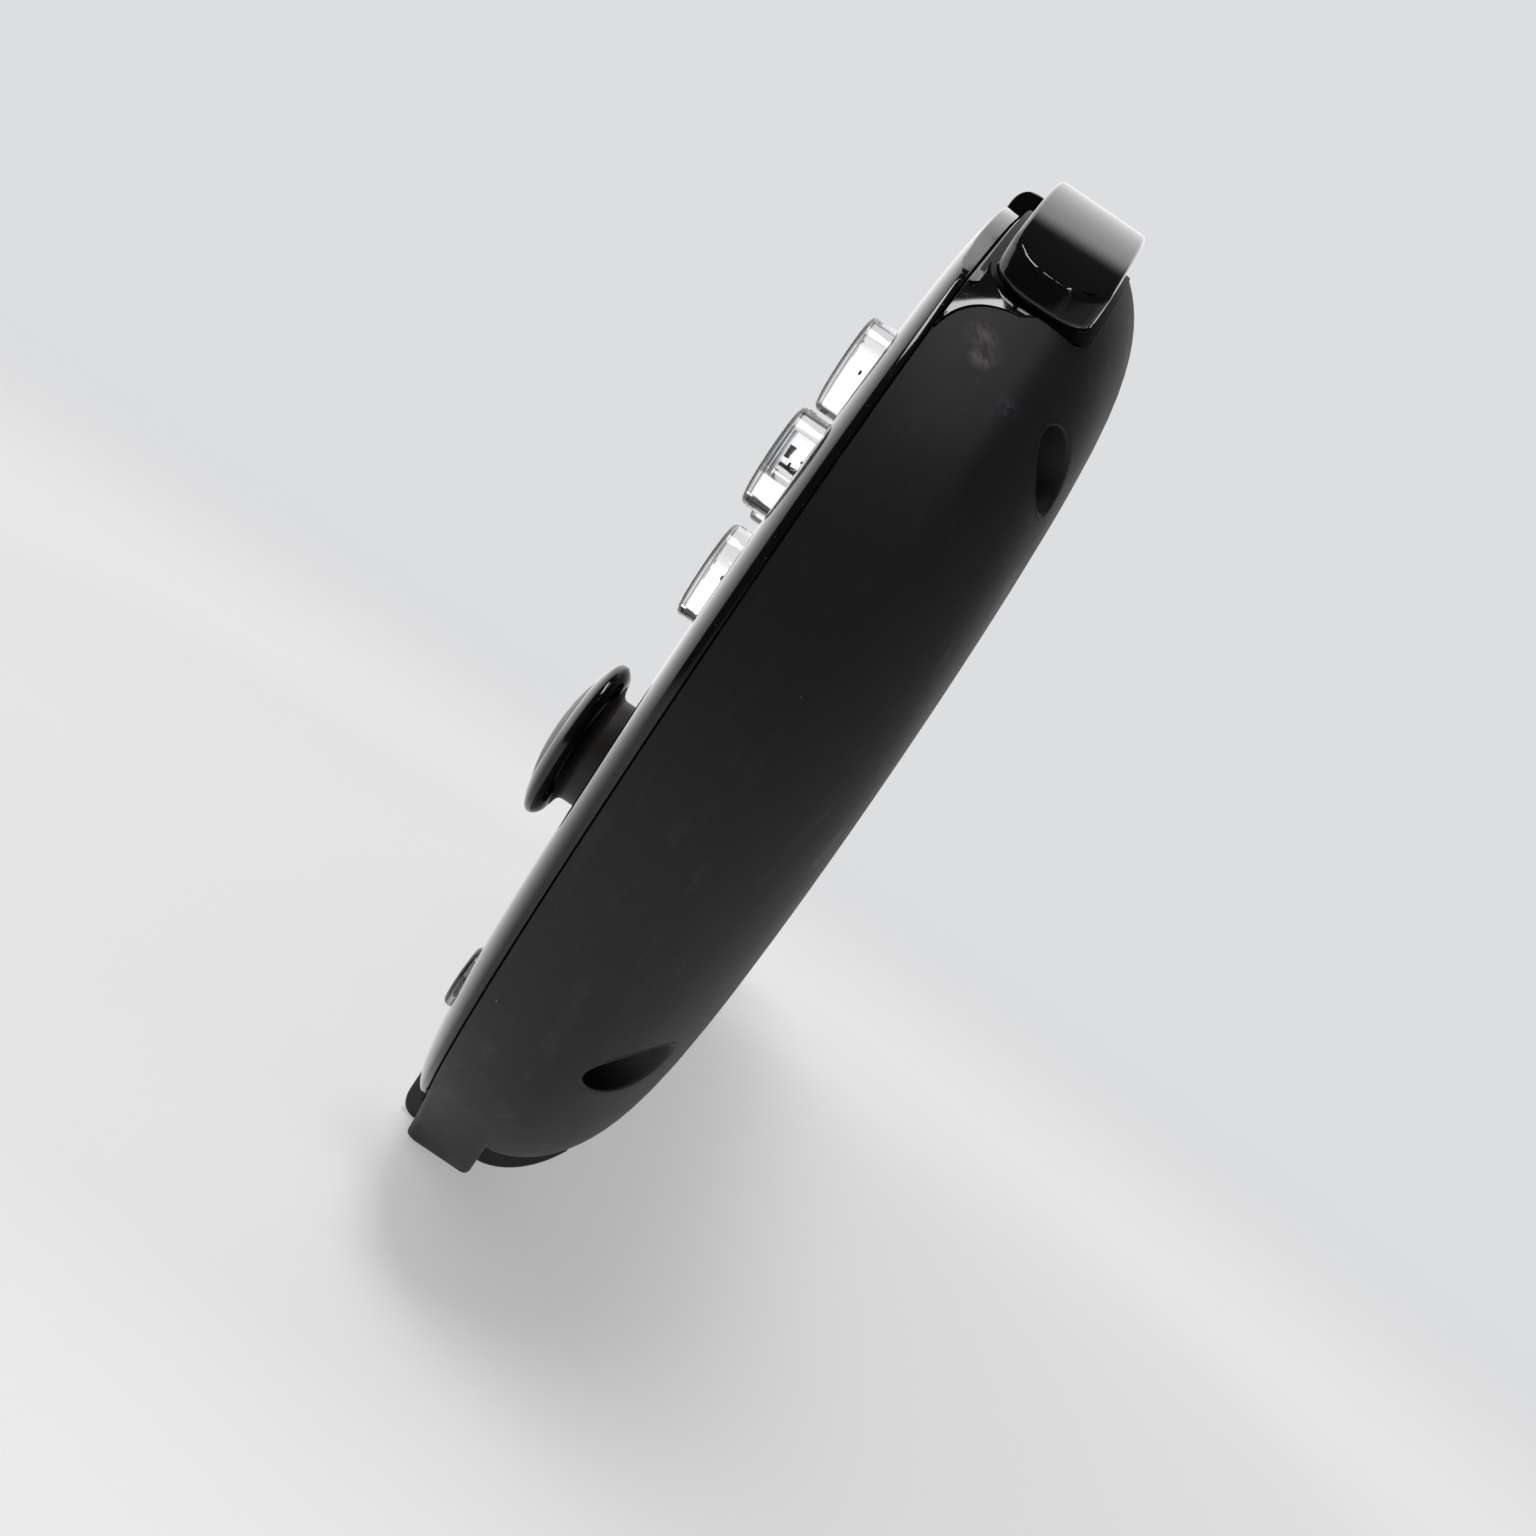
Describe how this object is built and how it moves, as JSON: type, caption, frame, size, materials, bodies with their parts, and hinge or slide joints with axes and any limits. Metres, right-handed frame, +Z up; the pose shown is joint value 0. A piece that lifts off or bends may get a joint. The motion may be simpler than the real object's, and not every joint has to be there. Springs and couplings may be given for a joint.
{
  "type": "handheld game console",
  "caption": "Pocket game console with rounded ends, wide display, two small analogue sticks, directional pad, clear round buttons, shoulder buttons and a rear touch pad.",
  "frame": {"origin": "middle of the bottom of the console's box, on the surface that its flat bottom strip stands on", "axes": "+X to the player's right, +Y from the screen towards the back, +Z up towards the shoulder buttons"},
  "size_m": [0.1836, 0.0204, 0.085],
  "materials": {
    "matte_shell": "matte charcoal moulded plastic, fine grain",
    "gloss_black": "polished black",
    "satin_black": "satin black",
    "clear_cap": "clear polished acrylic",
    "smoke_cap": "translucent smoke, polished",
    "screen_glass": "black glass, screen off",
    "steel": "plain",
    "alloy": "cast, plain",
    "circuit_board": "solder mask",
    "battery_wrap": "foil wrap",
    "silicone": "soft"
  },
  "bodies": {
    "housing": {"rear_shell": "matte_shell", "front_cover": "gloss_black", "top_trim": "gloss_black", "bottom_trim": "gloss_black", "right_corner_trim": "gloss_black", "left_corner_trim": "gloss_black", "screw_top_left": "steel", "screw_top_right": "steel", "screw_bottom_left": "steel", "screw_bottom_right": "steel", "display_glass": "screen_glass", "display_panel": "satin_black", "front_camera": "screen_glass", "rear_touch_pad": "gloss_black", "rear_camera": "screen_glass", "mid_frame": "alloy", "main_board": "circuit_board", "battery": "battery_wrap", "wireless_module": "alloy", "game_card_reader": "steel", "memory_card_reader": "steel", "usb_port": "steel", "headphone_jack": "satin_black", "left_control_board": "circuit_board", "left_speaker": "satin_black", "right_control_board": "circuit_board", "right_speaker": "satin_black", "button_membrane": "silicone", "dpad_membrane": "silicone", "left_stick_base": "steel", "right_stick_base": "steel", "left_shoulder_pin": "steel", "right_shoulder_pin": "steel", "left_shoulder_switch": "steel", "right_shoulder_switch": "steel"},
    "dpad_rocker": {"dpad_pivot": "satin_black"},
    "dpad_cross": {"dpad": "gloss_black"},
    "left_stick_ring": {"left_stick_gimbal": "satin_black"},
    "left_stick": {"left_stick_cap": "satin_black"},
    "right_stick_ring": {"right_stick_gimbal": "satin_black"},
    "right_stick": {"right_stick_cap": "satin_black"},
    "left_shoulder": {"left_shoulder_button": "gloss_black"},
    "right_shoulder": {"right_shoulder_button": "gloss_black"},
    "game_card_flap": {"game_card_cover": "gloss_black"},
    "memory_card_flap": {"memory_card_cover": "gloss_black"},
    "button_north_key": {"button_north": "clear_cap"},
    "button_east_key": {"button_east": "clear_cap"},
    "button_south_key": {"button_south": "clear_cap"},
    "button_west_key": {"button_west": "clear_cap"},
    "start_button_key": {"start_button": "smoke_cap"},
    "select_button_key": {"select_button": "smoke_cap"},
    "home_button_key": {"home_button": "smoke_cap"},
    "power_button_key": {"power_button": "satin_black"},
    "volume_down_key": {"volume_down": "satin_black"},
    "volume_up_key": {"volume_up": "satin_black"}
  },
  "joints": [
    {"name": "button_north_press", "type": "slide", "parent": "housing", "child": "button_north_key", "axis": [0, 1, 0], "range_m": [0, 0.0009], "stiffness_N_per_m": 450},
    {"name": "button_east_press", "type": "slide", "parent": "housing", "child": "button_east_key", "axis": [0, 1, 0], "range_m": [0, 0.0009], "stiffness_N_per_m": 450},
    {"name": "button_south_press", "type": "slide", "parent": "housing", "child": "button_south_key", "axis": [0, 1, 0], "range_m": [0, 0.0009], "stiffness_N_per_m": 450},
    {"name": "button_west_press", "type": "slide", "parent": "housing", "child": "button_west_key", "axis": [0, 1, 0], "range_m": [0, 0.0009], "stiffness_N_per_m": 450},
    {"name": "start_press", "type": "slide", "parent": "housing", "child": "start_button_key", "axis": [0, 1, 0], "range_m": [0, 0.0005], "stiffness_N_per_m": 450},
    {"name": "select_press", "type": "slide", "parent": "housing", "child": "select_button_key", "axis": [0, 1, 0], "range_m": [0, 0.0005], "stiffness_N_per_m": 450},
    {"name": "home_press", "type": "slide", "parent": "housing", "child": "home_button_key", "axis": [0, 1, 0], "range_m": [0, 0.0004], "stiffness_N_per_m": 450},
    {"name": "power_press", "type": "slide", "parent": "housing", "child": "power_button_key", "axis": [0, 0, -1], "range_m": [0, 0.0005], "stiffness_N_per_m": 450},
    {"name": "volume_down_press", "type": "slide", "parent": "housing", "child": "volume_down_key", "axis": [0, 0, -1], "range_m": [0, 0.0004], "stiffness_N_per_m": 450},
    {"name": "volume_up_press", "type": "slide", "parent": "housing", "child": "volume_up_key", "axis": [0, 0, -1], "range_m": [0, 0.0004], "stiffness_N_per_m": 450},
    {"name": "dpad_up_down", "type": "hinge", "parent": "housing", "child": "dpad_rocker", "pos_m": [-0.0715, -0.00152, 0.05515], "axis": [1, 0, 0], "range_deg": [-3, 3], "stiffness_Nm_per_rad": 0.05},
    {"name": "dpad_left_right", "type": "hinge", "parent": "dpad_rocker", "child": "dpad_cross", "pos_m": [-0.0715, -0.00152, 0.05515], "axis": [0, 0, 1], "range_deg": [-3, 3], "stiffness_Nm_per_rad": 0.05},
    {"name": "left_stick_up_down", "type": "hinge", "parent": "housing", "child": "left_stick_ring", "pos_m": [-0.068, -0.00081, 0.0324], "axis": [1, 0, 0], "range_deg": [-14, 14], "stiffness_Nm_per_rad": 0.02},
    {"name": "left_stick_left_right", "type": "hinge", "parent": "left_stick_ring", "child": "left_stick", "pos_m": [-0.068, -0.00081, 0.0324], "axis": [0, 0, 1], "range_deg": [-14, 14], "stiffness_Nm_per_rad": 0.02},
    {"name": "left_shoulder_press", "type": "hinge", "parent": "housing", "child": "left_shoulder", "pos_m": [-0.053, 0.00093, 0.0802], "axis": [0, -1, 0], "range_deg": [0, 0.65], "stiffness_Nm_per_rad": 0.6},
    {"name": "right_stick_up_down", "type": "hinge", "parent": "housing", "child": "right_stick_ring", "pos_m": [0.068, -0.00081, 0.0324], "axis": [1, 0, 0], "range_deg": [-14, 14], "stiffness_Nm_per_rad": 0.02},
    {"name": "right_stick_left_right", "type": "hinge", "parent": "right_stick_ring", "child": "right_stick", "pos_m": [0.068, -0.00081, 0.0324], "axis": [0, 0, 1], "range_deg": [-14, 14], "stiffness_Nm_per_rad": 0.02},
    {"name": "right_shoulder_press", "type": "hinge", "parent": "housing", "child": "right_shoulder", "pos_m": [0.053, 0.00093, 0.0802], "axis": [0, 1, 0], "range_deg": [0, 0.65], "stiffness_Nm_per_rad": 0.6},
    {"name": "game_card_flap_open", "type": "hinge", "parent": "housing", "child": "game_card_flap", "pos_m": [-0.02, 0.0015, 0.0841], "axis": [-1, 0, 0], "range_deg": [0, 85]},
    {"name": "memory_card_flap_open", "type": "hinge", "parent": "housing", "child": "memory_card_flap", "pos_m": [0.007, 0.0015, 0.0841], "axis": [-1, 0, 0], "range_deg": [0, 85]}
  ]
}
